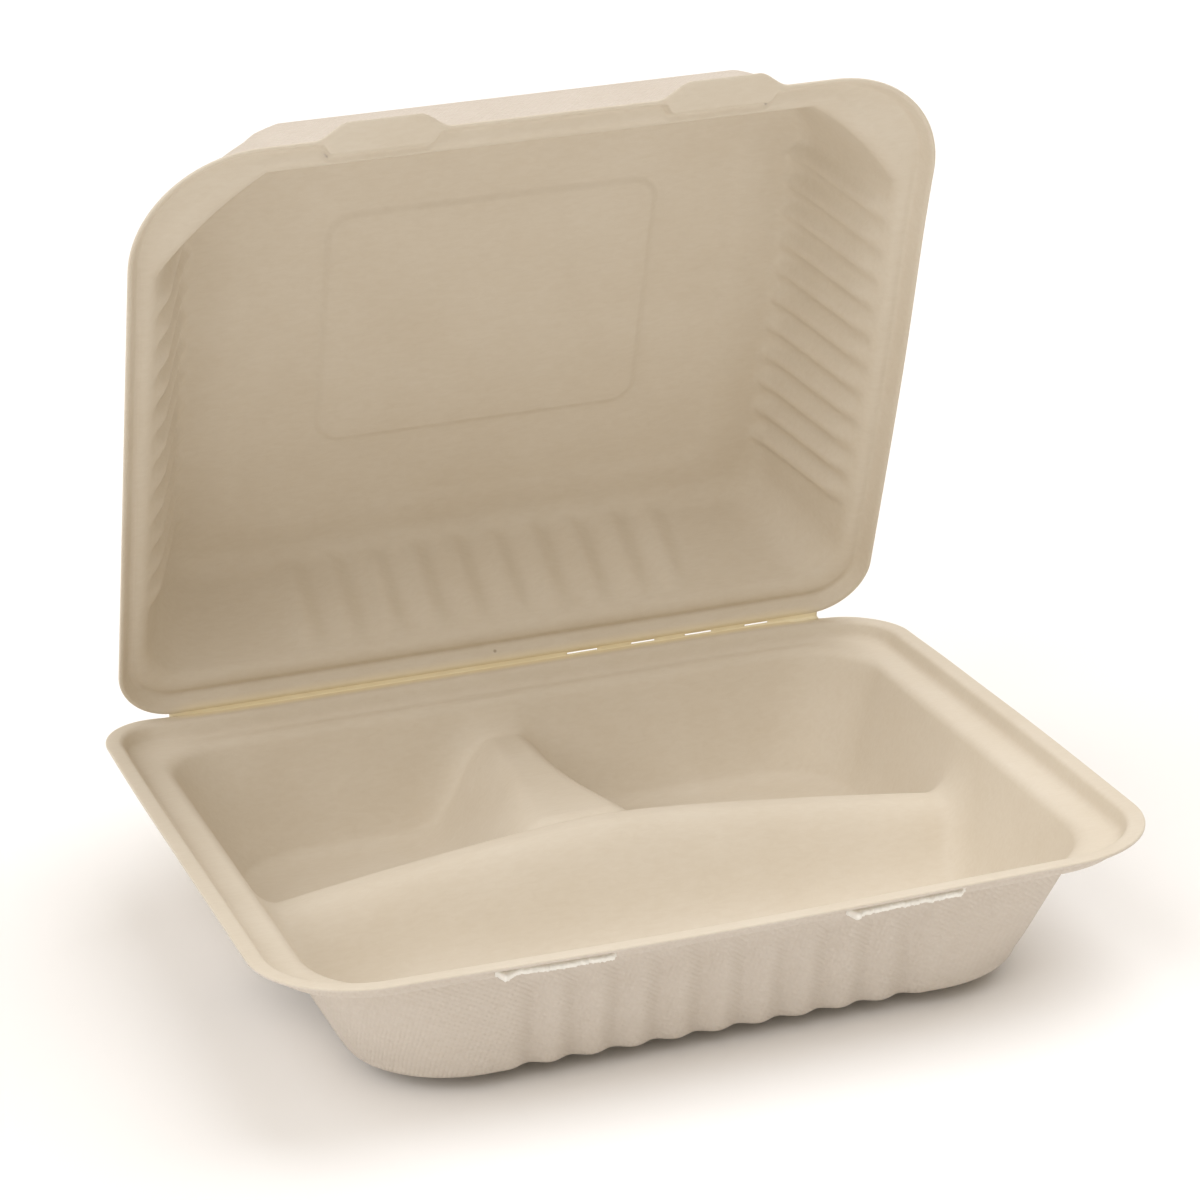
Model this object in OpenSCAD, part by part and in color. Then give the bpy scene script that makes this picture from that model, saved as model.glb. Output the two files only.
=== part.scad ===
// Three-compartment clamshell food container, press-moulded from sugar-cane pulp.
// X runs along the fold, -Y points to the front edge with the slots, +Z is up.
// Everything is drawn about the middle of the fold, level with the rim. It is then moved
// so that the origin lies on the flat foot under the front compartment.

/* [Sheet] */
// Thickness of the pressed pulp
wall = 0.8; // [0.6:0.1:1.1]
// Thickness of the outer rim of the tray
rim_t = 1; // [0.8:0.1:1.4]

/* [Tray] */
// Width of the tray over its rim
tray_w = 235; // [228:1:245]
// Depth of the tray from the fold to the front edge
tray_d = 194.5; // [192.5:0.5:204]
// Height of the tray from its underside to the top of its rim
tray_h = 43; // [38:0.5:48]
// Radius of the front corners of the rim
tray_front_r = 29; // [27:1:34]
// Radius of the rear corners of the rim
tray_rear_r = 17; // [16:1:20]
// How far the front edge of the rim droops in its middle
front_sag = 1.2; // [0:0.1:1.5]

/* [Tray rim] */
// Width of the flat flange round the outside
flange_w = 4.9; // [4:0.1:5.4]
// Drop from the flange to the ledge
step_h = 4.8; // [4.2:0.1:5.2]
// Run of that drop
step_run = 1; // [0.6:0.1:1.4]
// Width of the ledge at the sides, out to the line of the wall
ledge_side = 9; // [8:0.5:10]
// Width of the ledge at the front and rear, out to the line of the wall
ledge_front = 5.3; // [4.7:0.1:6.5]
// Radius of the inside edge between ledge and wall
ledge_r = 3; // [2:0.5:4]

/* [Tray walls] */
// Draft of the side walls, in degrees
side_draft = 22.8; // [18:0.2:25]
// Draft of the front and rear walls, in degrees
front_draft = 16.2; // [13:0.2:19]
// Radius of the front corners where the wall leaves the ledge
wall_front_r = 25; // [22:1:28]
// Radius of the rear corners where the wall leaves the ledge
wall_rear_r = 19; // [16:1:23]
// Growth of those corners for each millimetre down the wall
wall_r_growth = 0.12; // [0:0.02:0.16]
// Radius of the inside edge between wall and floor
floor_r = 7; // [5:0.5:9]

/* [Divider] */
// Distance from the fold to the crest of the cross ridge
cross_y = 95; // [88:1:104]
// Drop of the cross ridge below the rim, in its middle
cross_drop = 9.5; // [8:0.5:12]
// Further drop of the cross ridge at the side walls
cross_arch = 10; // [6:0.5:12]
// Half width of the top of the cross ridge
cross_top = 3; // [2:0.5:5]
// Half width of the cross ridge at the floor
cross_foot = 20; // [16:1:24]
// Sideways place of the middle ridge
middle_x = -4; // [-10:1:10]
// Drop of the middle ridge below the rim
middle_drop = 12.5; // [10:0.5:18]
// Half width of the top of the middle ridge
middle_top = 5; // [3:0.5:8]
// Half width of the middle ridge at the floor
middle_foot = 24; // [18:1:28]

/* [Ribs] */
// Depth of a rib
rib_depth = 1.5; // [0.8:0.1:2]
// Spacing of the ribs on the front of the tray
tray_rib_pitch = 11; // [9.5:0.5:13]
// Length of the ribbed stretch on the front of the tray
tray_rib_run = 110; // [88:1:112]
// Spacing of the ribs on the sides of the lid
side_rib_pitch = 10.4; // [9:0.1:12]
// Length of the ribbed stretch on each side of the lid
side_rib_run = 104; // [80:0.5:104]
// Distance from the fold to the middle of that stretch
side_rib_y = 86.5; // [86:0.1:87]
// Spacing of the ribs on the rear of the lid
rear_rib_pitch = 12; // [10:0.5:14]
// Length of the ribbed stretch on the rear of the lid
rear_rib_run = 120; // [96:1:130]

/* [Lid] */
// Width of the lid over its lip
lid_w = 221.2; // [214:0.2:222]
// Depth of the lid from the fold to its front lip
lid_d = 189.8; // [188:0.2:191]
// Height of the lid from its lip to the top of its panel
lid_h = 38.6; // [34:0.2:42]
// Radius of the front corners of the lip
lid_front_r = 34; // [33:1:36]
// Radius of the rear corners of the lip
lid_rear_r = 17; // [16:1:20]
// Width of the edge of the lip that is turned down
lip_w = 1.2; // [1:0.1:1.6]
// Drop from the flange of the lid to its lip
lip_h = 2.8; // [2:0.1:3.6]
// Width of the lid's rim at the sides, out to the line of the wall
lid_rim_side = 8.1; // [7.4:0.1:9]
// Width of the lid's rim at the front and rear, out to the line of the wall
lid_rim_front = 9; // [8.2:0.1:9.6]
// Radius of the front corners where the lid wall leaves the rim
lid_wall_front_r = 30; // [28:1:34]
// How far those corners are flattened, from a round to a straight cut
lid_corner_flat = 0.5; // [0:0.05:0.7]
// Radius of the rear corners where the lid wall leaves the rim
lid_wall_rear_r = 13; // [11:1:15]
// Draft of the side walls of the lid, in degrees
lid_side_draft = 22.8; // [18:0.2:25]
// Draft of the front and rear walls of the lid, in degrees
lid_front_draft = 14.5; // [12:0.5:17]
// Radius of the inside edge between lid wall and panel
panel_r = 8; // [6:0.5:9]
// Angle that the lid stands open, from closed, in degrees
open_angle = 67; // [0:1:180]

/* [Panel] */
// Width of the raised field in the middle of the panel
field_w = 92; // [70:1:104]
// Depth of the raised field
field_d = 77; // [60:1:90]
// Distance from the fold to the middle of the raised field
field_y = 97.5; // [92:0.5:102]
// Height of the raised field
field_h = 0.6; // [0.4:0.1:0.7]
// Radius of the corners of the raised field
field_r = 7; // [4:0.5:12]

/* [Tabs and slots] */
// Distance from the middle line to the centre of each tab and slot
tab_x = 45.5; // [40:0.5:50]
// Width of a tab at its root
tab_root_w = 35; // [32:0.5:38]
// Width of a tab at its tip
tab_tip_w = 19.5; // [14:0.5:24]
// How far a tab stands out past the lip
tab_reach = 5; // [4:0.1:6]
// How far a tab runs back across the rim
tab_back = 5; // [4:0.1:5.6]
// Radius of the corners of a tab
tab_r = 1.5; // [1:0.1:2]
// Width of a slot in the skirt of the tray
slot_w = 31; // [26:0.5:36]
// Height of a slot
slot_h = 1.4; // [1:0.1:2]
// Strip of skirt left between the flange and a slot
slot_drop = 0.7; // [0.3:0.1:0.9]

/* [Fold] */
// Length of the fold that joins lid and tray
fold_len = 190; // [160:1:192]
// Number of pressed stretches along the fold
fold_stretches = 8; // [8:1:10]
// Gap between two stretches
fold_break = 1.5; // [1:0.1:3]
// Radius of the pressed bead along the fold
fold_r = 0.5; // [0.4:0.05:0.6]
// Clear distance from the lid to the bead and to the tray
fold_gap = 0.25; // [0.2:0.05:0.3]

/* [Hidden] */
pulp_colour = [0.9, 0.86, 0.76];
lid_colour = [0.93, 0.9, 0.82];
// Distance from the fold to the origin
origin_y = 142;
// Steps in a corner, along half a plain edge, in a rounded inside edge, down the slope
// of a ridge, and along the cross ridge
corner_steps = 7;
plain_steps = 3;
round_steps = 4;
slope_steps = 6;
cross_steps = 13;
// Share of the straight part of a wall over which its ribs fade in
rib_fade = 0.2;
// How much tighter a tray corner turns for each millimetre down its rounded foot
foot_turn = 0.5;
// How much tighter the corners of the lid are at its panel than at its rim
lid_corner_close = 5;
// Depth that a ridge is let into the floor
sink = 0.5;
// Length that a cut runs past every edge
past = 60;
bevel = 0.35;
slack = 0.01;
tray_floor = tray_h - wall;
panel_depth = lid_h - wall;
tray_rear_y = -fold_r / 2;
lid_edge = fold_r + fold_gap;
lid_flange = lip_h + wall;

// An edge of a ring is [share of the rib depth, places of its points]
function plain_edge(half, middle = 0) =
    [0, [for (i = [-plain_steps:plain_steps]) middle + half * i / plain_steps]];
function ribbed_edge(run, pitch, middle = 0) =
    let (n = floor(run / pitch + slack))
    [1, [for (i = [-2 * n:2 * n]) middle + i * pitch / 4]];
function flip(list) = [for (i = [len(list) - 1:-1:0]) list[i]];
function bite(edge, s, i) = edge[0] * s[7] * rib_depth * (1 - cos(90 * i)) / 2;

// One rounded corner from angle a, drawn towards its chord by the share flat
function corner(cx, cy, r, a, flat = 0) =
    [for (k = [0:corner_steps])
        let (
            t = k / corner_steps,
            round = [cos(a + 90 * t), sin(a + 90 * t)],
            chord = (1 - t) * [cos(a), sin(a)] + t * [-sin(a), cos(a)]
        )
        [cx, cy] + r * ((1 - flat) * round + flat * chord)];

// A section is [half width, front y, rear y, front r, rear r, flatness, z, rib share].
// Its ring of points runs anticlockwise from the left end of the front edge.
function ring(s, edges) =
    let (
        hw = s[0], yf = s[1], yr = s[2], rf = s[3], rr = s[4], flat = s[5],
        f = edges[0], e = edges[1], r = edges[2]
    )
    [for (p = concat(
        [for (i = [0:len(f[1]) - 1]) [f[1][i], yf + bite(f, s, i)]],
        corner(hw - rf, yf + rf, rf, -90, flat),
        [for (i = [0:len(e[1]) - 1]) [hw - bite(e, s, i), e[1][i]]],
        corner(hw - rr, yr - rr, rr, 0),
        [for (i = [0:len(r[1]) - 1]) [flip(r[1])[i], yr - bite(r, s, i)]],
        corner(rr - hw, yr - rr, rr, 90),
        [for (i = [0:len(e[1]) - 1]) [bite(e, s, i) - hw, flip(e[1])[i]]],
        corner(rf - hw, yf + rf, rf, 180, flat)
    )) [p[0], p[1], s[6]]];

// A closed solid through rings of points, given from the top down
module loft(rings) {
    n = len(rings[0]);
    polyhedron(
        points = [for (r = rings) each r],
        faces = concat(
            [[for (i = [n - 1:-1:0]) i]],
            [for (k = [0:len(rings) - 2], i = [0:n - 1])
                let (j = (i + 1) % n)
                each [
                    [k * n + i, k * n + j, k * n + n + j],
                    [k * n + i, k * n + n + j, k * n + n + i]
                ]],
            [[for (i = [0:n - 1]) (len(rings) - 1) * n + i]]
        ),
        convexity = 6
    );
}

// Inset of a drafted wall that starts at [inset, depth] and rounds into a floor with
// radius r. The skin lies out outside the inside face.
function wall_inset(depth, start, draft, floor_depth, r, out) =
    let (
        centre = floor_depth - r,
        reach = r + out,
        middle = start[0] + (centre - start[1]) * tan(draft) + r / cos(draft),
        below = depth - centre
    )
    below < reach * sin(draft)
        ? middle - reach / cos(draft) + below * tan(draft)
        : middle - sqrt(max(0, reach * reach - below * below));

// Depths of the rings down a wall: along its straight part, then round to the floor
function wall_depths(first, draft, floor_depth, r, out) =
    let (centre = floor_depth - r, reach = r + out)
    concat(
        [first, first + (centre - first) * rib_fade],
        [for (k = [0:round_steps]) centre + reach * sin(draft + (90 - draft) * k / round_steps)]
    );

// Share of the rib depth: none at the rim, full down the wall and none at the floor
function rib_share(depth, first, floor_depth, r) =
    let (fade = (floor_depth - depth) / r)
    depth <= first ? 0 : min(1, max(0, fade));

// Droop of the front of the tray's rim, fading down the wall
function droop(x, y, z) =
    let (
        across = cos(max(-90, min(90, 180 * x / tray_w))),
        front = max(0, -2 * y / tray_d - 1),
        rim = max(0, 1 + z / tray_floor)
    )
    front_sag * across * across * front * rim;
function drooped(points) = [for (p = points) [p[0], p[1], p[2] - droop(p[0], p[1], p[2])]];

// The tray

tray_start_side = [flange_w + step_run + ledge_side, step_h];
tray_start_front = [flange_w + step_run + ledge_front, step_h];

function tray_edges() = [
    ribbed_edge(tray_rib_run, tray_rib_pitch),
    plain_edge(tray_d / 5, -tray_d / 2),
    plain_edge(tray_w / 4)
];
function tray_section(side, front, depth, rf, rr, ribs = 0) =
    [tray_w / 2 - side, front - tray_d, tray_rear_y - front, rf, rr, 0, -depth, ribs];
function rim_section(inset, depth) =
    tray_section(inset, inset, depth, tray_front_r - inset, tray_rear_r - inset);
function tray_wall_section(depth, out) =
    let (
        side = wall_inset(depth, tray_start_side, side_draft, tray_floor, floor_r, out),
        front = wall_inset(depth, tray_start_front, front_draft, tray_floor, floor_r, out),
        grown = wall_r_growth * (min(depth, tray_floor - floor_r) - step_h),
        turned = max(0, depth - (tray_floor - floor_r)) * foot_turn
    )
    tray_section(
        side, front, depth,
        wall_front_r + out + grown - turned, wall_rear_r + out + grown - turned,
        rib_share(depth, step_h + 2 * wall, tray_floor, floor_r)
    );
function tray_wall(first, out) =
    [for (d = wall_depths(first, side_draft, tray_floor, floor_r, out)) tray_wall_section(d, out)];

// Sections of the rounded edge between the ledge and the wall
function ledge_edge() =
    [for (t = [0, (90 - side_draft) / 2])
        let (back = ledge_r * (1 / tan(45 + side_draft / 2) - sin(t)))
        tray_section(
            tray_start_side[0] - back, tray_start_front[0] - back,
            step_h + ledge_r * (1 - cos(t)), wall_front_r + back, wall_rear_r + back
        )];

module tray_rings(sections) {
    loft([for (s = sections) drooped(ring(s, tray_edges()))]);
}

// The sheet, from its floor up the inside, over the rim and down the outside
module tray_sheet() {
    foot = step_h + wall;
    skirt = flange_w + step_run - wall;
    tray_rings(concat(
        flip(concat(
            [rim_section(flange_w, 0), rim_section(flange_w + step_run, step_h)],
            ledge_edge(),
            tray_wall(step_h + ledge_r * (1 - sin(side_draft)), 0)
        )),
        [
            rim_section(bevel, 0),
            rim_section(0, bevel),
            rim_section(0, rim_t),
            rim_section(skirt - step_run * (foot - rim_t) / foot, rim_t),
            rim_section(skirt, foot)
        ],
        tray_wall(foot, wall)
    ));
}

// What the ridges fill: it ends halfway through the wall
module tray_core() {
    tray_rings(tray_wall(step_h + wall, wall / 2));
}

// Half section of a ridge: flat in the middle, then a smooth slope to the floor
function ridge_height(u, top, foot) = (1 + cos(180 * max(0, min(1, (u - top) / (foot - top))))) / 2;
function ridge_steps(top, foot) =
    [for (k = [slope_steps:-1:0]) top + (foot - top) * k / slope_steps];

// A ridge along X. crest(x) is the drop of its top below the rim, and out sets the
// hollow on its underside in by the thickness of the sheet.
module ridge(from, to, steps, crest, top, foot, out) {
    half = [for (u = ridge_steps(top - out, foot - out))
        [u, ridge_height(u, top - out, foot - out)]];
    profile = concat(half, [for (p = flip(half)) [-p[0], p[1]]]);
    loft([for (i = [0:steps])
        let (
            x = to + (from - to) * i / steps,
            low = -tray_floor - out - sink,
            high = -crest(x) - out
        )
        concat(
            [[x, out - foot, -tray_h - past], [x, foot - out, -tray_h - past]],
            [for (p = profile) [x, p[0], low + p[1] * (high - low)]]
        )]);
}

module divider(out) {
    reach = tray_w / 2 - flange_w - step_run;
    cross_crest = function(x) cross_drop + cross_arch * pow(x / reach, 2);
    middle_crest = function(x) middle_drop;
    translate([0, -cross_y, 0])
        ridge(-reach, reach, cross_steps, cross_crest, cross_top, cross_foot, out);
    translate([middle_x, 0, 0])
        rotate([0, 0, -90])
            ridge(flange_w + step_run, cross_y, 2, middle_crest, middle_top, middle_foot, out);
}

// Slots under the flange that the tabs of the lid push through
module slots() {
    for (side = [-1, 1]) {
        top = -rim_t - slot_drop - droop(tab_x, -tray_d, 0);
        translate([side * tab_x - slot_w / 2, -tray_d + flange_w / 2, top - slot_h])
            cube([slot_w, flange_w, slot_h]);
    }
}

// The bead along the fold, pressed in stretches with small breaks between them
module fold_bead() {
    pitch = (fold_len + fold_break) / fold_stretches;
    for (i = [0:fold_stretches - 1])
        translate([(i + 0.5) * pitch - (fold_len + fold_break) / 2, 0, 0])
            hull()
                for (end = [-1, 1])
                    translate([end * ((pitch - fold_break) / 2 - fold_r), 0, 0])
                        sphere(r = fold_r, $fn = 10);
}

module base_tray() {
    color(pulp_colour) {
        difference() {
            union() {
                tray_sheet();
                intersection() {
                    tray_core();
                    divider(0);
                }
            }
            divider(wall);
            slots();
        }
        fold_bead();
    }
}

// The lid, drawn closed and then swung open about the fold

lid_start_side = [lid_rim_side, lip_h];
lid_start_front = [lid_rim_front, lip_h];

function lid_edges() = [
    plain_edge(lid_w / 4),
    ribbed_edge(side_rib_run, side_rib_pitch, -side_rib_y),
    ribbed_edge(rear_rib_run, rear_rib_pitch)
];
function lid_section(side, front, height, rf, rr, flat = 0, ribs = 0) =
    [lid_w / 2 - side, front - lid_d, -lid_edge - front, rf, rr, flat, fold_gap + height, ribs];
function lip_section(inset, height) =
    lid_section(inset, inset, height, lid_front_r - inset, lid_rear_r - inset);
function lid_wall_section(height, out) =
    let (
        side = wall_inset(height, lid_start_side, lid_side_draft, panel_depth, panel_r, out),
        front = wall_inset(height, lid_start_front, lid_front_draft, panel_depth, panel_r, out),
        rise = (height - lip_h) / panel_depth
    )
    lid_section(
        side, front, height,
        lid_wall_front_r + out - lid_corner_close * rise,
        lid_wall_rear_r + out - lid_corner_close * rise, lid_corner_flat,
        rib_share(height, lip_h + 2 * wall, panel_depth, panel_r)
    );
function lid_wall(first, out) =
    flip([for (h = wall_depths(first, lid_side_draft, panel_depth, panel_r, out)) lid_wall_section(h, out)]);

module lid_rings(sections) {
    loft([for (s = sections) ring(s, lid_edges())]);
}

// The sheet, from its panel down the outside, over the lip and up the inside
module lid_sheet() {
    lid_rings(concat(
        lid_wall(lid_flange, wall),
        [
            lip_section(bevel, lid_flange),
            lip_section(0, lid_flange - bevel),
            lip_section(0, bevel),
            lip_section(bevel, 0),
            lip_section(lip_w, 0),
            lip_section(lip_w + bevel, lip_h)
        ],
        flip(lid_wall(lip_h, 0))
    ));
}

// The raised field in the middle of the panel, grown by more than its size
module field(more, low, high) {
    translate([0, -field_y, fold_gap + low])
        linear_extrude(high - low)
            hull()
                for (x = [-1, 1], y = [-1, 1])
                    translate([x * (field_w / 2 - field_r), y * (field_d / 2 - field_r)])
                        circle(r = field_r + more, $fn = 32);
}

// Outline of a tab across the rim, narrower by set on its closed sides
module tab_box(set, front) {
    hull()
        for (x = [-1, 1])
            for (y = [front - tab_r, tab_r + set - tab_back])
                translate([x * (tab_root_w / 2 - tab_r - set), -y])
                    circle(r = tab_r, $fn = 16);
}

// Outline of the flat tongue of a tab
module tab_tongue() {
    hull()
        for (x = [-1, 1]) {
            translate([x * (tab_tip_w / 2 - tab_r), tab_r - tab_reach])
                circle(r = tab_r, $fn = 16);
            translate([x * (tab_root_w / 2 - tab_r), tab_r + lip_w])
                circle(r = tab_r, $fn = 16);
        }
}

module each_tab(low) {
    for (side = [-1, 1])
        translate([side * tab_x, -lid_d, fold_gap + low])
            children();
}

module lid_closed() {
    difference() {
        union() {
            lid_sheet();
            field(0, panel_depth - field_h, lid_h - field_h);
            each_tab(0) linear_extrude(lid_flange) tab_box(0, 0);
        }
        field(-wall, lid_h - field_h, lid_h + past);
        each_tab(wall) linear_extrude(lid_h) tab_box(wall, 2 * tab_reach);
    }
    each_tab(0) linear_extrude(wall) tab_tongue();
}

module lid() {
    color(lid_colour)
        rotate([-open_angle, 0, 0])
            lid_closed();
}

translate([0, origin_y, tray_h]) {
    base_tray();
    lid();
}
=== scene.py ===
"""Moulded-pulp clamshell food container: the looks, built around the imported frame.

Lengths are in millimetres about the middle of the fold, level with the rim of the tray:
x along the fold, y to the rear, z up. place() moves them into the frame, in metres.
"""

import math

import bpy
import numpy as np
from mathutils import Matrix, Vector


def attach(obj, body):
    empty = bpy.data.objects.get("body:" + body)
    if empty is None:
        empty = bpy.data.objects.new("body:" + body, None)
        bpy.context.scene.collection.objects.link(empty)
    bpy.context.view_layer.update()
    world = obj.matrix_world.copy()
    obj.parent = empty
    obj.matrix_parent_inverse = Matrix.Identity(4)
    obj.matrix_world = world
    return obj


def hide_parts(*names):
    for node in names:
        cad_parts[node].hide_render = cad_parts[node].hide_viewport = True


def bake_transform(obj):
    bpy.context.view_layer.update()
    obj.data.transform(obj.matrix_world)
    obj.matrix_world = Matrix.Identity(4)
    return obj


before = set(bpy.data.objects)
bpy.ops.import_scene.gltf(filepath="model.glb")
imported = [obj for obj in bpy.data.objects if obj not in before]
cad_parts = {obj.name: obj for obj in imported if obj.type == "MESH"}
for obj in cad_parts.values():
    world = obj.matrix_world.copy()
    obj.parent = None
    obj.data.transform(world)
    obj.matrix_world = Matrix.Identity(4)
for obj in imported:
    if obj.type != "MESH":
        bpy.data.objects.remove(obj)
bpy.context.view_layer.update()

# Sizes: the overall ones are those of the part's source. Ribs are (start, pitch, count)

WALL = 0.8
RIM_T = 1.0
TRAY_W, TRAY_D, TRAY_H = 235.0, 194.5, 43.0
FLANGE_W, STEP_H, STEP_RUN = 4.9, 4.8, 1.0
LEDGE_SIDE, LEDGE_FRONT = 9.0, 5.3
TRAY_R = (29.0, 17.0)
TRAY_WALL_R = (25.0, 19.0)
WALL_R_GROWTH = 0.12
FOOT_TURN = 0.5
SIDE_DRAFT, FRONT_DRAFT = 22.8, 16.2
TRAY_REAR_Y = -0.25
FRONT_SAG = 1.2
TRAY_RIB, SIDE_RIB, REAR_RIB = 2.1, 2.9, 1.8
TRAY_RIBS = (-55.0, 11.0, 10)
LID_W, LID_D, LID_H = 221.2, 189.8, 38.6
LIP_H = 2.8
LID_RIM_SIDE, LID_RIM_FRONT, LID_RIM_REAR = 8.1, 11.0, 9.0
LID_R = (34.0, 17.0)
LID_WALL_R = (28.0, 13.0)
LID_CORNER_CLOSE = 2.0
LID_CORNER_FLAT = 0.8
LID_SLOPE_IN = 4.3
LID_SIDE_DRAFT, LID_FRONT_DRAFT, LID_REAR_DRAFT = 22.8, 15.6, 14.5
LID_EDGE, FOLD_GAP = 0.75, 0.25
SIDE_RIBS = (-144.5, 9.98, 11)
REAR_RIBS = (-60.0, 12.0, 10)
FIELD_W, FIELD_D, FIELD_Y, FIELD_R = 92.0, 77.0, -97.5, 7.0
TAB_X, TAB_ROOT_W, TAB_TIP_W, TAB_REACH = 45.5, 35.0, 19.5, 5.0
FOLD_LEN = 190.0
OPEN_ANGLE = 67.0
ORIGIN_Y = 142.0
EDGE_RINGS, FLANGE_RINGS = 4, 9


def place(points):
    """Points about the fold, in millimetres, as points of the frame, in metres."""
    return (np.asarray(points, float) + (0.0, ORIGIN_Y, TRAY_H)) * 0.001


def swing(points, angle=OPEN_ANGLE):
    """Points of the closed lid, swung open about the fold."""
    p = np.asarray(points, float)
    c, s = math.cos(math.radians(angle)), math.sin(math.radians(angle))
    return np.stack([p[..., 0], p[..., 1] * c + p[..., 2] * s, p[..., 2] * c - p[..., 1] * s], -1)


# Paths, rings and sheets


def smooth(t):
    t = np.clip(t, 0.0, 1.0)
    return t * t * (3.0 - 2.0 * t)


def smooth_max(a, b, k):
    """The larger of a and b, with the corner between them rounded over k."""
    h = np.clip(k - np.abs(a - b), 0.0, None) / k
    return np.maximum(a, b) + h * h * k * 0.25


def rounded_path(corners, radii, arc_steps, run_steps):
    """A polyline through corners with each inner corner rounded, sampled so that two paths
    with the same steps match point for point."""
    points = [np.array(c, float) for c in corners]
    cut = [points[0]]
    arcs = []
    for before, at, after, r in zip(points, points[1:], points[2:], radii):
        u = (before - at) / np.linalg.norm(before - at)
        v = (after - at) / np.linalg.norm(after - at)
        half = math.acos(np.clip(u @ v, -1, 1)) / 2
        back = r / math.tan(half)
        centre = at + (u + v) / np.linalg.norm(u + v) * r / math.sin(half)
        arcs.append((at + u * back, at + v * back, centre, r))
    path = []
    start = points[0]
    for (a, b, centre, r), steps, runs in zip(arcs, arc_steps, run_steps):
        path += [start + (a - start) * i / runs for i in range(runs)]
        for i in range(steps):
            m = a + (b - a) * i / steps - centre
            angle_a = math.atan2(*(a - centre)[::-1])
            angle_b = math.atan2(*(b - centre)[::-1])
            turn = (angle_b - angle_a + math.pi) % (2 * math.pi) - math.pi
            t = angle_a + turn * i / steps
            path.append(centre + r * np.array([math.cos(t), math.sin(t)]))
        start = b
    runs = run_steps[-1]
    path += [start + (points[-1] - start) * i / runs for i in range(runs + 1)]
    return np.array(path)


def outline(hw, yf, yr, rf, rr, flat, counts):
    """A rounded rectangle, anticlockwise from the left end of its front edge: points and
    how much each belongs to the front and rear edges rather than to the sides."""
    nf, ns, nr, nc = counts
    points, share = [], []

    def edge(a, b, n, weight):
        for i in range(n):
            t = i / n
            points.append((a[0] + (b[0] - a[0]) * t, a[1] + (b[1] - a[1]) * t))
            share.append(weight)

    def corner(cx, cy, r, start, weights, flatness):
        for i in range(nc):
            t = i / nc
            a = math.radians(start + 90 * t)
            s, e = math.radians(start), math.radians(start + 90)
            x = (1 - flatness) * math.cos(a) + flatness * ((1 - t) * math.cos(s) + t * math.cos(e))
            y = (1 - flatness) * math.sin(a) + flatness * ((1 - t) * math.sin(s) + t * math.sin(e))
            points.append((cx + r * x, cy + r * y))
            share.append(weights[0] + (weights[1] - weights[0]) * smooth(t))

    edge((rf - hw, yf), (hw - rf, yf), nf, 1.0)
    corner(hw - rf, yf + rf, rf, -90, (1, 0), flat)
    edge((hw, yf + rf), (hw, yr - rr), ns, 0.0)
    corner(hw - rr, yr - rr, rr, 0, (0, 1), 0)
    edge((hw - rr, yr), (rr - hw, yr), nr, 1.0)
    corner(rr - hw, yr - rr, rr, 90, (1, 0), 0)
    edge((-hw, yr - rr), (-hw, yf + rf), ns, 0.0)
    corner(rf - hw, yf + rf, rf, 180, (0, 1), flat)
    return np.array(points), np.array(share)


def edge_slices(counts):
    nf, ns, nr, nc = counts
    a = nf + nc
    b = a + ns + nc
    c = b + nr + nc
    return slice(0, nf), slice(a, a + ns), slice(b, b + nr), slice(c, c + ns)


def rib_wave(along, start, pitch, count):
    """0 on the crests and outside the ribbed stretch, 1 in the grooves, with soft ends."""
    u = (np.asarray(along) - start) / pitch
    return (1 - np.cos(2 * np.pi * u)) / 2 * ((u > 0) & (u < count))


def skins(rings, thickness, mirrored, relief=None):
    """The two skins of a sheet. rings is (rings, points, 3), a bowl from its outer edge
    inwards. relief gives how far each point stands proud of the drawn skin. The first
    rings, counted by mirrored, are the rounded edge and mirror their z for the underside."""

    def normals(p):
        du = np.roll(p, -1, axis=1) - np.roll(p, 1, axis=1)
        dv = np.empty_like(p)
        dv[1:-1] = p[2:] - p[:-2]
        dv[0] = p[1] - p[0]
        dv[-1] = p[-1] - p[-2]
        n = np.cross(du, dv)
        n /= np.maximum(np.linalg.norm(n, axis=2, keepdims=True), 1e-9)
        n[-1] = n[-2]
        return n

    top = rings
    if relief is not None:
        top = top + normals(top) * relief[..., None]
    under = top - normals(top) * thickness[:, None, None]
    under[:mirrored] = top[:mirrored]
    under[:mirrored, :, 2] = 2 * top[mirrored, :, 2] - top[:mirrored, :, 2] - thickness[0]
    return top, under


def sheet_faces(rings, n, holes):
    """Faces of the inside skin, the outside skin and the strips that close the sheet."""
    inside, outside = [], []
    other = rings * n
    for k in range(rings - 1):
        for i in range(n):
            if (k, i) in holes:
                continue
            j = (i + 1) % n
            a, b, c, d = k * n + i, k * n + j, (k + 1) * n + j, (k + 1) * n + i
            inside.append((a, b, c, d))
            outside.append((other + d, other + c, other + b, other + a))
    edges = [(i, (i + 1) % n) for i in range(n)]
    for k, i in holes:
        j = (i + 1) % n
        loop = ((k, i), (k, j), (k + 1, j), (k + 1, i))
        beside = ((k - 1, i), (k, j), (k + 1, i), (k, (i - 1) % n))
        for (p, q), nb in zip(zip(loop, loop[1:] + loop[:1]), beside):
            if nb not in holes:
                a, b = p[0] * n + p[1], q[0] * n + q[1]
                outside.append((a, b, other + b, other + a))
    for a, b in edges:
        outside.append((other + a, other + b, b, a))
    return inside, outside


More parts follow.
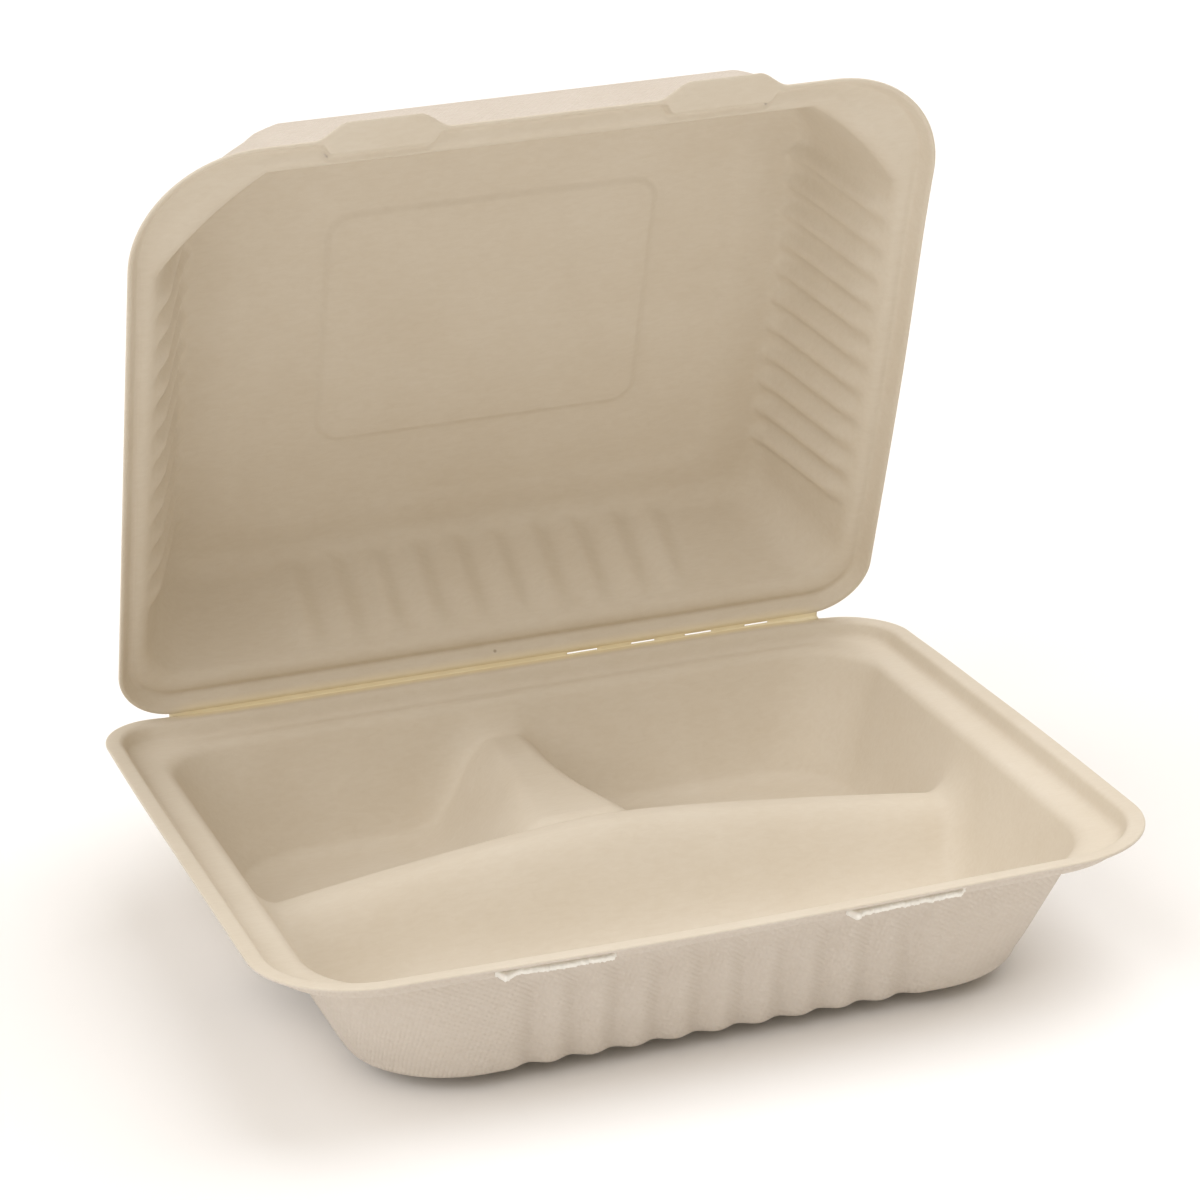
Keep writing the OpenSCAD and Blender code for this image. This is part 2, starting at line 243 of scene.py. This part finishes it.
def sheet_object(name, top, under, to_frame, holes=frozenset(), extra=()):
    """One closed mesh with the inside skin in material slot 0 and the outside in slot 1.
    extra holds loose (points, faces, slot) parts of the same moulding, such as torn lips."""
    import bmesh

    rings, n, _ = top.shape
    inside, outside = sheet_faces(rings, n, holes)
    points = np.concatenate([top.reshape(-1, 3), under.reshape(-1, 3)])
    faces = inside + outside
    slots = [0] * len(inside) + [1] * len(outside)
    for more, more_faces, slot in extra:
        base = len(points)
        points = np.concatenate([points, np.asarray(more, float).reshape(-1, 3)])
        faces += [tuple(base + v for v in f) for f in more_faces]
        slots += [slot] * len(more_faces)
    mesh = bpy.data.meshes.new(name)
    mesh.from_pydata(to_frame(points).tolist(), [], faces)
    mesh.polygons.foreach_set("material_index", slots)
    bm = bmesh.new()
    bm.from_mesh(mesh)
    bmesh.ops.remove_doubles(bm, verts=bm.verts, dist=3e-6)
    bmesh.ops.dissolve_degenerate(bm, edges=bm.edges, dist=1e-6)
    bmesh.ops.recalc_face_normals(bm, faces=bm.faces)
    bm.to_mesh(mesh)
    bm.free()
    mesh.shade_smooth()
    obj = bpy.data.objects.new(name, mesh)
    bpy.context.scene.collection.objects.link(obj)
    return obj


def inwards(rings, line, steps, power=1.0):
    """Adds rings from the last one to the points of line, closer together near line."""
    last = rings[-1]
    for i in range(1, steps + 1):
        rings.append(last + (line - last) * (1 - (1 - i / steps) ** power))


# The tray

TRAY_COUNTS = (140, 84, 110, 23)
TRAY_FLOOR = TRAY_H - WALL
TRAY_FOOT_R = 7.0
FLOOR_RUN = 12.0


def tray_path(ledge, draft):
    start = FLANGE_W + STEP_RUN + ledge
    foot = start + (TRAY_FLOOR - STEP_H) * math.tan(math.radians(draft))
    return rounded_path(
        [(0.05, -0.4), (0.05, 0.0), (FLANGE_W - 0.4, 0.0), (FLANGE_W + STEP_RUN + 0.5, -STEP_H),
         (start, -STEP_H), (foot, -TRAY_FLOOR), (foot + FLOOR_RUN, -TRAY_FLOOR)],
        [0.35, 1.8, 2.0, 3.8, TRAY_FOOT_R],
        [3, 5, 5, 7, 9],
        [1, 4, 3, 3, 12, 3],
    )


def tray_radii(inset, depth, which):
    """Corner radius of the ring at that inset and depth, for the front or rear corners."""
    rim, wall = TRAY_R[which], TRAY_WALL_R[which]
    ledge_in = FLANGE_W + STEP_RUN
    start = ledge_in + LEDGE_SIDE
    if inset <= ledge_in:
        return rim - inset
    if depth <= STEP_H + 0.01:
        share = min(1.0, (inset - ledge_in) / (start - ledge_in))
        return rim - ledge_in + (wall - rim + ledge_in) * share
    grown = WALL_R_GROWTH * (min(depth, TRAY_FLOOR - TRAY_FOOT_R) - STEP_H)
    return wall + grown - max(0, depth - (TRAY_FLOOR - TRAY_FOOT_R)) * FOOT_TURN


def ridge_shape(u, top, foot):
    t = np.clip((np.abs(u) - top) / (foot - top), 0, 1)
    return (1 + np.cos(np.pi * t)) / 2


def divider_height(x, y):
    """Height of the cross ridge and the middle ridge, which sink below the floor."""
    low = -TRAY_FLOOR - 6.0
    wide = np.sqrt(x * x + 90.0) / 92.0
    crest = -9.2 - np.where(x > 0, 10.6 * wide**1.25, 10.0 * wide**1.35)
    line = -95.0
    behind = ridge_shape(np.where(y > line, y - line, 0), 1.6, 23.0)
    ahead = ridge_shape(np.where(y <= line, y - line, 0), 1.8, 31.0)
    cross = low + (crest - low) * behind * ahead
    near = smooth((-y - 30) / 60.0)
    centre = -5.5
    left = ridge_shape(np.where(x < centre, x - centre, 0), 3.0 + 6 * near, 33.0 + 13 * near)
    right = ridge_shape(np.where(x >= centre, x - centre, 0), 3.0 + 5 * near, 27.0 + 16 * near)
    ends = 1 - smooth((-y - 84) / 22.0)
    middle = low + (-14.2 + 2.6 * smooth((-y - 50) / 45.0) - low) * left * right * ends
    return cross, middle


def tray_droop(p):
    across = np.cos(np.clip(np.pi * p[..., 0] / TRAY_W, -np.pi / 2, np.pi / 2))
    front = np.clip(-2 * p[..., 1] / TRAY_D - 1, 0, None)
    return FRONT_SAG * across**2 * front * np.clip(1 + p[..., 2] / TRAY_FLOOR, 0, 1)


def near_point(p, x, y, wide, deep):
    return np.exp(-(((p[..., 0] - x) / wide) ** 2) - ((p[..., 1] - y) / deep) ** 2)


def tray_warp(p):
    """How far a point of the tray stands off its plane: a moulded sheet is never flat."""
    lift = 1.3 * near_point(p, -118, -4, 22, 30)
    drop = 2.0 * near_point(p, 119, -8, 24, 30) + 1.0 * near_point(p, 118, -55, 18, 40)
    return (lift - drop) * np.clip(1 + p[..., 2] / 25.0, 0, 1) - tray_droop(p)


def tray_rings():
    side = tray_path(LEDGE_SIDE, SIDE_DRAFT)
    front = tray_path(LEDGE_FRONT, FRONT_DRAFT)
    foot_in = front[-1][0] - FLOOR_RUN
    f = edge_slices(TRAY_COUNTS)[0]
    rings = []
    for (si, sz), (fi, fz) in zip(side, front):
        xy, share = outline(
            TRAY_W / 2 - si, -TRAY_D + fi, TRAY_REAR_Y - fi,
            tray_radii(si, -sz, 0), tray_radii(si, -sz, 1), 0, TRAY_COUNTS
        )
        fade = smooth((-fz - STEP_H - 1.0) / 7.0) * (1 - smooth((fi - foot_in - 1) / 9.0))
        xy[f, 1] += TRAY_RIB * fade * rib_wave(xy[f, 0], *TRAY_RIBS)
        rings.append(np.column_stack([xy, sz + (fz - sz) * share]))
    last = rings[-1]
    spine = np.column_stack([np.clip(last[:, 0], -54, 54), np.full(len(last), -96.0), last[:, 2]])
    inwards(rings, spine, 34, 1.25)
    p = np.array(rings)
    cross, middle = divider_height(p[..., 0], p[..., 1])
    deep = smooth((-np.maximum(cross, middle) - 12.0) / 14.0)
    ridge = smooth_max(cross, middle, 7.0 + 16.0 * deep)
    raised = smooth_max(p[..., 2], ridge, 14.0)
    p[..., 2] = np.where(p[..., 2] < -STEP_H - 0.3, raised, p[..., 2])
    p[..., 2] += tray_warp(p)
    return p, side


SLOTS = ((-62.4, -31.8), (28.2, 59.8))


def torn_lip(x0, x1, rng):
    """The ragged lower edge of a slot, pushed out of the skirt by the punch."""
    n = 90
    xs = np.linspace(x0, x1, n)
    rag = np.convolve(rng.normal(0, 1, n + 8), np.ones(5) / 5, "valid")[:n]
    fine = rng.normal(0, 0.10, n)
    ends = np.clip(np.minimum(xs - x0, x1 - xs) / 1.2, 0.25, 1)
    blob = 1 + 0.5 * np.exp(-(((xs - x0 - 1.5) / 1.6) ** 2))
    out = (2.8 + 0.7 * rag + fine) * ends * blob
    drop = (0.7 + 0.3 * rng.random(n)) * blob
    points, faces = [], []
    for x, o, d in zip(xs, out, drop):
        sag = tray_droop(np.array([x, -TRAY_D, -2.0]))
        y = -TRAY_D + FLANGE_W + 0.25
        z = -2.6 - sag
        points += [(x, y + 0.5, z + 0.35), (x, y - 0.7 * o, z + 0.25), (x, y - o, z - 0.1),
                   (x, y - 0.9 * o, z - 0.6 - d), (x, y + 0.5, z - 1.7)]
    m = 5
    for i in range(n - 1):
        for k in range(m):
            a, b = i * m + k, i * m + (k + 1) % m
            faces.append((a, b, b + m, a + m))
    faces.append(tuple(range(m)))
    faces.append(tuple((n - 1) * m + k for k in reversed(range(m))))
    return points, faces, 2


def build_tray():
    rings, side = tray_rings()
    thick = np.where(np.arange(len(rings)) < FLANGE_RINGS, RIM_T, WALL).astype(float)
    top, under = skins(rings, thick, EDGE_RINGS)
    holes = set()
    for k in range(len(side) - 1):
        z = (side[k][1] + side[k + 1][1]) / 2
        if FLANGE_W < side[k][0] + 0.6 and -2.4 < z < -0.8 and side[k][0] < FLANGE_W + STEP_RUN:
            for i in range(TRAY_COUNTS[0] - 1):
                x = (top[k, i, 0] + top[k, i + 1, 0]) / 2
                if any(a < x < b for a, b in SLOTS):
                    holes.add((k, i))
    rng = np.random.default_rng(7)
    lips = [torn_lip(a, b, rng) for a, b in SLOTS]
    return sheet_object("tray_sheet", top, under, place, frozenset(holes), lips)


# The lid, drawn closed as a bowl that opens upwards, then turned over and swung open

LID_COUNTS = (150, 104, 110, 24)
PANEL = LID_H - WALL
PANEL_R = 8.0


def lid_path(rim, draft, slope_end, slope_drop):
    foot = rim + (PANEL - LIP_H) * math.tan(math.radians(draft))
    return rounded_path(
        [(0.05, -0.4), (0.05, 0.0), (1.1, 0.0), (slope_end, -slope_drop), (rim, -LIP_H),
         (foot, -PANEL), (foot + FLOOR_RUN, -PANEL)],
        [0.35, 1.3, 1.5, 4.2, PANEL_R],
        [3, 5, 5, 7, 9],
        [1, 3, 3, 3, 12, 3],
    )


def lid_corner(inset, depth, which):
    """Corner radius and flatness of the ring at that inset and depth."""
    rim, wall = LID_R[which], LID_WALL_R[which]
    flat = LID_CORNER_FLAT if which == 0 else 0.0
    if inset <= LID_SLOPE_IN:
        return rim - inset, 0.0
    if depth <= LIP_H + 0.25:
        share = min(1.0, (inset - LID_SLOPE_IN) / (LID_RIM_SIDE - LID_SLOPE_IN))
        return rim - LID_SLOPE_IN + (wall - rim + LID_SLOPE_IN) * share, flat * smooth(share)
    rise = (depth - LIP_H) / PANEL
    return wall - LID_CORNER_CLOSE * rise, flat * (1 - 0.6 * rise)


def tab_shift(x, inset):
    """How far a tab moves the front rim inwards at that inset: negative is outwards."""
    u = np.abs(np.abs(x) - TAB_X)
    wide = np.clip((TAB_ROOT_W / 2 - u) / ((TAB_ROOT_W - TAB_TIP_W) / 2), 0, 1)
    wide = 0.35 * wide + 0.65 * smooth(wide)
    steep = smooth((TAB_ROOT_W / 2 - 1.8 - u) / 2.6)
    out = np.interp(inset, [0.0, 1.1], [-TAB_REACH, 0.0])
    back = np.interp(inset, [0.3, 0.9, 5.5, 10.5], [0.0, 3.6, 3.2, 0.0])
    return out * wide + back * steep


def rounded_box(x, y, hw, hd, r):
    """Signed distance to a rounded rectangle about the origin, negative inside."""
    qx, qy = np.abs(x) - hw + r, np.abs(y) - hd + r
    outer = np.hypot(np.maximum(qx, 0), np.maximum(qy, 0))
    return outer + np.minimum(np.maximum(qx, qy), 0) - r


def lid_relief(p):
    """How far the panel's fields stand proud of it, towards the inside of the lid."""
    field = rounded_box(p[..., 0], p[..., 1] - FIELD_Y, FIELD_W / 2, FIELD_D / 2, FIELD_R)
    band = rounded_box(p[..., 0], p[..., 1] + 108.5, 70.0, 75.0, 10.0)
    inner = p[..., 2] < -LIP_H - 2.5
    return 0.9 * smooth(0.5 - field / 2.6) - np.where(inner, 0.7 * smooth(0.5 - band / 3.8), 0)


def lid_rings():
    side = lid_path(LID_RIM_SIDE, LID_SIDE_DRAFT, 3.5, LIP_H + 0.8)
    front = lid_path(LID_RIM_FRONT, LID_FRONT_DRAFT, 4.4, LIP_H + 1.0)
    back = lid_path(LID_RIM_REAR, LID_REAR_DRAFT, 4.0, LIP_H + 0.5)
    f, right, rear, left = edge_slices(LID_COUNTS)
    rings = []
    for (si, sz), (fi, fz), (bi, _) in zip(side, front, back):
        rf, flat = lid_corner(si, -sz, 0)
        rr, _ = lid_corner(si, -sz, 1)
        xy, share = outline(
            LID_W / 2 - si, -LID_D + fi, -LID_EDGE - bi, rf, rr, flat, LID_COUNTS
        )
        xy[f, 1] += tab_shift(xy[f, 0], fi)
        fade_s = smooth((-sz - LIP_H - 1.0) / 6.0) * smooth((PANEL + sz + 1.5) / 4.0)
        fade_r = smooth((-fz - LIP_H - 3.0) / 9.0) * smooth((PANEL + fz + 1.0) / 7.0)
        for e, sign in ((right, -1), (left, 1)):
            wave = rib_wave(xy[e, 1], *SIDE_RIBS)
            xy[e, 0] += sign * SIDE_RIB * fade_s * wave
        wave = rib_wave(xy[rear, 0], *REAR_RIBS)
        xy[rear, 1] -= REAR_RIB * fade_r * wave
        bend = np.exp(-(((xy[:, 1] + 150) / 45) ** 2)) * smooth((xy[:, 0] - 70) / 35)
        xy[:, 0] -= 1.4 * bend
        rings.append(np.column_stack([xy, sz + (fz - sz) * share]))
    z = np.full(rings[-1].shape[0], -PANEL)

    def field_line(grow):
        xy, _ = outline(
            FIELD_W / 2 + grow, FIELD_Y - FIELD_D / 2 - grow, FIELD_Y + FIELD_D / 2 + grow,
            FIELD_R + grow, FIELD_R + grow, 0, LID_COUNTS
        )
        return np.column_stack([xy, z])

    inwards(rings, field_line(1.3), 13)
    inwards(rings, field_line(-1.3), 5)
    last = rings[-1]
    inwards(rings, np.column_stack([np.clip(last[:, 0], -14, 14), np.full(len(z), FIELD_Y), z]), 9)
    return np.array(rings)


def lid_to_frame(p):
    closed = np.stack([p[..., 0], p[..., 1], FOLD_GAP - p[..., 2]], -1)
    return place(swing(closed))


def build_lid():
    rings = lid_rings()
    thick = np.full(len(rings), WALL)
    top, under = skins(rings, thick, EDGE_RINGS, lid_relief(rings))
    return sheet_object("lid_sheet", top, under, lid_to_frame)


# The crease that joins lid and tray


def build_crease():
    """A thin pressed web along the fold, with the breaks that let light through."""
    n = 190
    xs = np.linspace(-FOLD_LEN / 2 - 1, FOLD_LEN / 2 + 1, n)
    gaps = ((20.0, 28.5), (39.0, 46.5), (55.0, 64.0), (73.5, 81.0))
    rng = np.random.default_rng(3)
    wander = np.convolve(rng.normal(0, 0.1, n + 10), np.ones(11) / 11, "valid")[:n]
    lid_end = swing(np.array([[0, -1.5, 0.75], [0, -0.8, 0.3]]))
    rows = [(-1.2, -0.55), (-0.3, -0.42), (0.15, -0.2), (0.25, 0.1),
            (lid_end[1][1] + 0.12, lid_end[1][2] - 0.15), (lid_end[0][1], lid_end[0][2])]
    half = 0.18
    m = len(rows)
    points = []
    for side in (1, -1):
        for i, x in enumerate(xs):
            for k, (y, z) in enumerate(rows):
                a, b = rows[max(k - 1, 0)], rows[min(k + 1, m - 1)]
                t = np.array([b[0] - a[0], b[1] - a[1]])
                t /= np.linalg.norm(t)
                w = wander[i] * math.sin(math.pi * k / (m - 1))
                points.append(
                    (x, y - side * half * t[1] + w * t[1], z + side * half * t[0] - w * t[0])
                )
    faces = []
    other = n * m

    def open_at(i, k):
        return k == 3 and any(a < (xs[i] + xs[min(i + 1, n - 1)]) / 2 < b for a, b in gaps)

    def solid(i, k):
        return 0 <= i < n - 1 and 0 <= k < m - 1 and not open_at(i, k)

    for i in range(n - 1):
        for k in range(m - 1):
            if not solid(i, k):
                continue
            a, b, c, d = i * m + k, (i + 1) * m + k, (i + 1) * m + k + 1, i * m + k + 1
            faces.append((a, b, c, d))
            faces.append((other + d, other + c, other + b, other + a))
            for p, q, near in (
                (a, b, (i, k - 1)), (b, c, (i + 1, k)), (c, d, (i, k + 1)), (d, a, (i - 1, k))
            ):
                if not solid(*near):
                    faces.append((p, other + p, other + q, q))
    mesh = bpy.data.meshes.new("crease")
    mesh.from_pydata(place(points).tolist(), [], faces)
    mesh.shade_smooth()
    obj = bpy.data.objects.new("crease", mesh)
    bpy.context.scene.collection.objects.link(obj)
    return obj


# Materials


def node(tree, kind, **values):
    made = tree.nodes.new(kind)
    for key, value in values.items():
        if key in made.inputs:
            made.inputs[key].default_value = value
        else:
            setattr(made, key, value)
    return made


def pulp(name, base, tan, weave, paint_fold_light=True):
    """Pressed pulp: clouded cream, short fibres, a few dark specks and a matt surface.
    weave is the strength of the screen's print on the outside. The last argument adds
    painted light along the fold: a yellow band that stands in for light shining through the pulp."""
    mat = bpy.data.materials.new(name)
    mat.use_nodes = True
    t = mat.node_tree
    t.nodes.clear()
    link = t.links.new
    out = node(t, "ShaderNodeOutputMaterial")
    bsdf = node(t, "ShaderNodeBsdfPrincipled")
    bsdf.inputs["Roughness"].default_value = 0.72
    bsdf.inputs["Specular IOR Level"].default_value = 0.22
    bsdf.inputs["Sheen Weight"].default_value = 0.06
    link(bsdf.outputs["BSDF"], out.inputs["Surface"])
    where = node(t, "ShaderNodeTexCoord")

    cloud = node(t, "ShaderNodeTexNoise", Scale=34.0, Detail=5.0, Roughness=0.55)
    link(where.outputs["Object"], cloud.inputs["Vector"])
    ramp = node(t, "ShaderNodeValToRGB")
    ramp.color_ramp.elements[0].position = 0.32
    ramp.color_ramp.elements[0].color = (*tan, 1)
    ramp.color_ramp.elements[1].position = 0.68
    ramp.color_ramp.elements[1].color = (*base, 1)
    link(cloud.outputs["Fac"], ramp.inputs["Fac"])

    fibre_map = node(t, "ShaderNodeMapping")
    fibre_map.inputs["Scale"].default_value = (260.0, 1100.0, 700.0)
    fibre_map.inputs["Rotation"].default_value = (0.4, 0.3, 0.6)
    link(where.outputs["Object"], fibre_map.inputs["Vector"])
    fibre = node(t, "ShaderNodeTexNoise", Scale=1.0, Detail=4.0, Roughness=0.6, Distortion=0.6)
    link(fibre_map.outputs["Vector"], fibre.inputs["Vector"])
    fibre_mix = node(t, "ShaderNodeMix", data_type="RGBA", blend_type="MULTIPLY")
    fibre_fac = node(t, "ShaderNodeMapRange")
    fibre_fac.inputs["From Min"].default_value = 0.35
    fibre_fac.inputs["From Max"].default_value = 0.75
    fibre_fac.inputs["To Min"].default_value = 0.0
    fibre_fac.inputs["To Max"].default_value = 0.10
    link(fibre.outputs["Fac"], fibre_fac.inputs["Value"])
    link(fibre_fac.outputs["Result"], fibre_mix.inputs[0])
    link(ramp.outputs["Color"], fibre_mix.inputs[6])
    fibre_mix.inputs[7].default_value = (0.62, 0.5, 0.33, 1)

    speck = node(t, "ShaderNodeTexVoronoi", Scale=46.0, Randomness=1.0)
    link(where.outputs["Object"], speck.inputs["Vector"])
    size = node(t, "ShaderNodeMapRange")
    size.inputs["From Min"].default_value = 0.016
    size.inputs["From Max"].default_value = 0.030
    size.inputs["To Min"].default_value = 1.0
    size.inputs["To Max"].default_value = 0.0
    link(speck.outputs["Distance"], size.inputs["Value"])
    pick = node(t, "ShaderNodeSeparateColor")
    link(speck.outputs["Color"], pick.inputs["Color"])
    rare = node(t, "ShaderNodeMath", operation="GREATER_THAN")
    rare.inputs[1].default_value = 0.86
    link(pick.outputs[0], rare.inputs[0])
    both = node(t, "ShaderNodeMath", operation="MULTIPLY")
    link(size.outputs["Result"], both.inputs[0])
    link(rare.outputs["Value"], both.inputs[1])
    faint = node(t, "ShaderNodeMath", operation="MULTIPLY")
    faint.inputs[1].default_value = 0.55
    link(both.outputs["Value"], faint.inputs[0])
    speck_mix = node(t, "ShaderNodeMix", data_type="RGBA")
    link(faint.outputs["Value"], speck_mix.inputs[0])
    link(fibre_mix.outputs[2], speck_mix.inputs[6])
    speck_mix.inputs[7].default_value = (0.24, 0.17, 0.09, 1)
    colour = speck_mix.outputs[2]

    # Painted light: a yellow band within a few millimetres of the fold, standing in for light that
    # shines through the thin pulp there.
    if paint_fold_light:
        split = node(t, "ShaderNodeSeparateXYZ")
        link(where.outputs["Object"], split.inputs["Vector"])
        to_fold = node(t, "ShaderNodeVectorMath", operation="SUBTRACT")
        to_fold.inputs[1].default_value = (0.0, ORIGIN_Y / 1000, TRAY_H / 1000)
        link(where.outputs["Object"], to_fold.inputs[0])
        flatten = node(t, "ShaderNodeVectorMath", operation="MULTIPLY")
        flatten.inputs[1].default_value = (0.0, 1.0, 1.0)
        link(to_fold.outputs["Vector"], flatten.inputs[0])
        far = node(t, "ShaderNodeVectorMath", operation="LENGTH")
        link(flatten.outputs["Vector"], far.inputs[0])
        near = node(t, "ShaderNodeMapRange", interpolation_type="SMOOTHSTEP")
        near.inputs["From Min"].default_value = 0.0008
        near.inputs["From Max"].default_value = 0.0042
        near.inputs["To Min"].default_value = 0.62
        near.inputs["To Max"].default_value = 0.0
        link(far.outputs["Value"], near.inputs["Value"])
        across = node(t, "ShaderNodeMath", operation="ABSOLUTE")
        link(split.outputs["X"], across.inputs[0])
        ends = node(t, "ShaderNodeMapRange", interpolation_type="SMOOTHSTEP")
        ends.inputs["From Min"].default_value = 0.088
        ends.inputs["From Max"].default_value = 0.100
        ends.inputs["To Min"].default_value = 1.0
        ends.inputs["To Max"].default_value = 0.0
        link(across.outputs["Value"], ends.inputs["Value"])
        share = node(t, "ShaderNodeMath", operation="MULTIPLY")
        link(near.outputs["Result"], share.inputs[0])
        link(ends.outputs["Result"], share.inputs[1])
        fold_light_mix = node(t, "ShaderNodeMix", data_type="RGBA")
        link(share.outputs["Value"], fold_light_mix.inputs[0])
        link(colour, fold_light_mix.inputs[6])
        fold_light_mix.inputs[7].default_value = (0.90, 0.78, 0.50, 1)
        colour = fold_light_mix.outputs[2]
    link(colour, bsdf.inputs["Base Color"])

    grain = node(t, "ShaderNodeTexNoise", Scale=900.0, Detail=3.0, Roughness=0.6)
    link(where.outputs["Object"], grain.inputs["Vector"])
    swell = node(t, "ShaderNodeTexNoise", Scale=60.0, Detail=2.0, Roughness=0.5)
    link(where.outputs["Object"], swell.inputs["Vector"])
    soft_bump = node(t, "ShaderNodeBump", Strength=0.25, Distance=0.0006)
    link(swell.outputs["Fac"], soft_bump.inputs["Height"])
    fine_bump = node(t, "ShaderNodeBump", Strength=0.22 if weave == 0 else 0.35, Distance=0.00012)
    link(grain.outputs["Fac"], fine_bump.inputs["Height"])
    link(soft_bump.outputs["Normal"], fine_bump.inputs["Normal"])
    normal = fine_bump.outputs["Normal"]
    if weave:
        bend = node(t, "ShaderNodeTexNoise", Scale=120.0, Detail=2.0)
        link(where.outputs["Object"], bend.inputs["Vector"])
        shift = node(t, "ShaderNodeVectorMath", operation="SCALE")
        shift.inputs["Scale"].default_value = 0.0010
        link(bend.outputs["Color"], shift.inputs[0])
        bent = node(t, "ShaderNodeVectorMath", operation="ADD")
        link(where.outputs["Object"], bent.inputs[0])
        link(shift.outputs["Vector"], bent.inputs[1])
        waves = []
        for direction in ((0.5, 0.45, 1.0), (-0.9, 0.8, 0.55)):
            along = node(t, "ShaderNodeVectorMath", operation="DOT_PRODUCT")
            along.inputs[1].default_value = Vector(direction).normalized() * (2 * math.pi / 0.00105)
            link(bent.outputs["Vector"], along.inputs[0])
            wave = node(t, "ShaderNodeMath", operation="SINE")
            link(along.outputs["Value"], wave.inputs[0])
            waves.append(wave)
        both_ways = node(t, "ShaderNodeMath", operation="ADD")
        link(waves[0].outputs["Value"], both_ways.inputs[0])
        link(waves[1].outputs["Value"], both_ways.inputs[1])
        print_bump = node(t, "ShaderNodeBump", Strength=weave, Distance=0.00009)
        link(both_ways.outputs["Value"], print_bump.inputs["Height"])
        link(normal, print_bump.inputs["Normal"])
        normal = print_bump.outputs["Normal"]
    link(normal, bsdf.inputs["Normal"])
    return mat


def plain(name, colour, roughness):
    mat = bpy.data.materials.new(name)
    mat.use_nodes = True
    bsdf = mat.node_tree.nodes["Principled BSDF"]
    bsdf.inputs["Base Color"].default_value = (*colour, 1)
    bsdf.inputs["Roughness"].default_value = roughness
    return mat


inside_pulp = pulp("pulp_inside", (0.715, 0.652, 0.55), (0.69, 0.622, 0.515), 0.0)
outside_pulp = pulp("pulp_outside", (0.69, 0.628, 0.558), (0.665, 0.60, 0.525), 0.55)
# Painted light: the torn lips are coloured near-white so they read as lit, though they sit in shade
# under the flange.
torn_pulp_painted_light = pulp("pulp_torn_painted_light", (0.97, 0.955, 0.90), (0.95, 0.93, 0.87), 0.0, False)
# Painted light: the crease's bright yellow stands in for light shining through the thin web along
# the fold.
crease_pulp_painted_light = pulp("pulp_crease_painted_light", (0.95, 0.87, 0.66), (0.93, 0.84, 0.60), 0.0, False)

# The pieces

tray = build_tray()
lid = build_lid()
crease = build_crease()
for obj, mats in (
    (tray, (inside_pulp, outside_pulp, torn_pulp_painted_light)),
    (lid, (inside_pulp, outside_pulp)),
    (crease, (crease_pulp_painted_light,)),
):
    for mat in mats:
        obj.data.materials.append(mat)
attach(tray, "tray")
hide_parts("base_tray")
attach(lid, "lid")
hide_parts("lid")
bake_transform(crease)

# Floor, light and camera

floor_mesh = bpy.data.meshes.new("floor")
floor_mesh.from_pydata([(-6, -6, 0), (6, -6, 0), (6, 6, 0), (-6, 6, 0)], [], [(0, 1, 2, 3)])
floor = bpy.data.objects.new("floor", floor_mesh)
bpy.context.scene.collection.objects.link(floor)
floor_mesh.materials.append(plain("floor_paper", (0.97, 0.97, 0.97), 0.9))

world = bpy.data.worlds.new("studio")
bpy.context.scene.world = world
world.use_nodes = True
sky = world.node_tree.nodes["Background"]
sky.inputs["Color"].default_value = (1.0, 0.84, 0.62, 1)
sky.inputs["Strength"].default_value = 0.38


def soft_sun(name, towards, colour, strength, angle):
    data = bpy.data.lights.new(name, "SUN")
    data.color = colour
    data.energy = strength
    data.angle = math.radians(angle)
    obj = bpy.data.objects.new(name, data)
    obj.rotation_euler = Vector(towards).to_track_quat("Z", "Y").to_euler()
    bpy.context.scene.collection.objects.link(obj)


soft_sun("key_left", (-1.0, -0.1, 0.9), (0.985, 1.0, 1.04), 1.1, 60)
soft_sun("key_right", (0.5, 0.18, 1.0), (0.985, 1.0, 1.04), 1.45, 60)
soft_sun("fill_front", (0.0, -0.6, 1.0), (0.985, 1.0, 1.04), 0.5, 60)
soft_sun("fill_left", (-0.8, -0.8, 0.7), (0.985, 1.0, 1.04), 0.38, 60)

camera = bpy.data.cameras.new("camera")
camera.sensor_width = 36
camera.sensor_fit = "HORIZONTAL"
camera.lens = 129.73
camera.clip_end = 30
camera_object = bpy.data.objects.new("camera", camera)
bpy.context.scene.collection.objects.link(camera_object)
right = Vector((0.944628, -0.325591, -0.040847))
down = Vector((-0.146175, -0.306074, -0.940719))
ahead = Vector((0.293787, 0.894600, -0.336720))
turn = Matrix((right, -down, -ahead)).transposed().to_4x4()
camera_object.matrix_world = Matrix.Translation((-0.329526, -0.953812, 0.470378)) @ turn
bpy.context.scene.camera = camera_object

bpy.context.scene.view_settings.view_transform = "Standard"
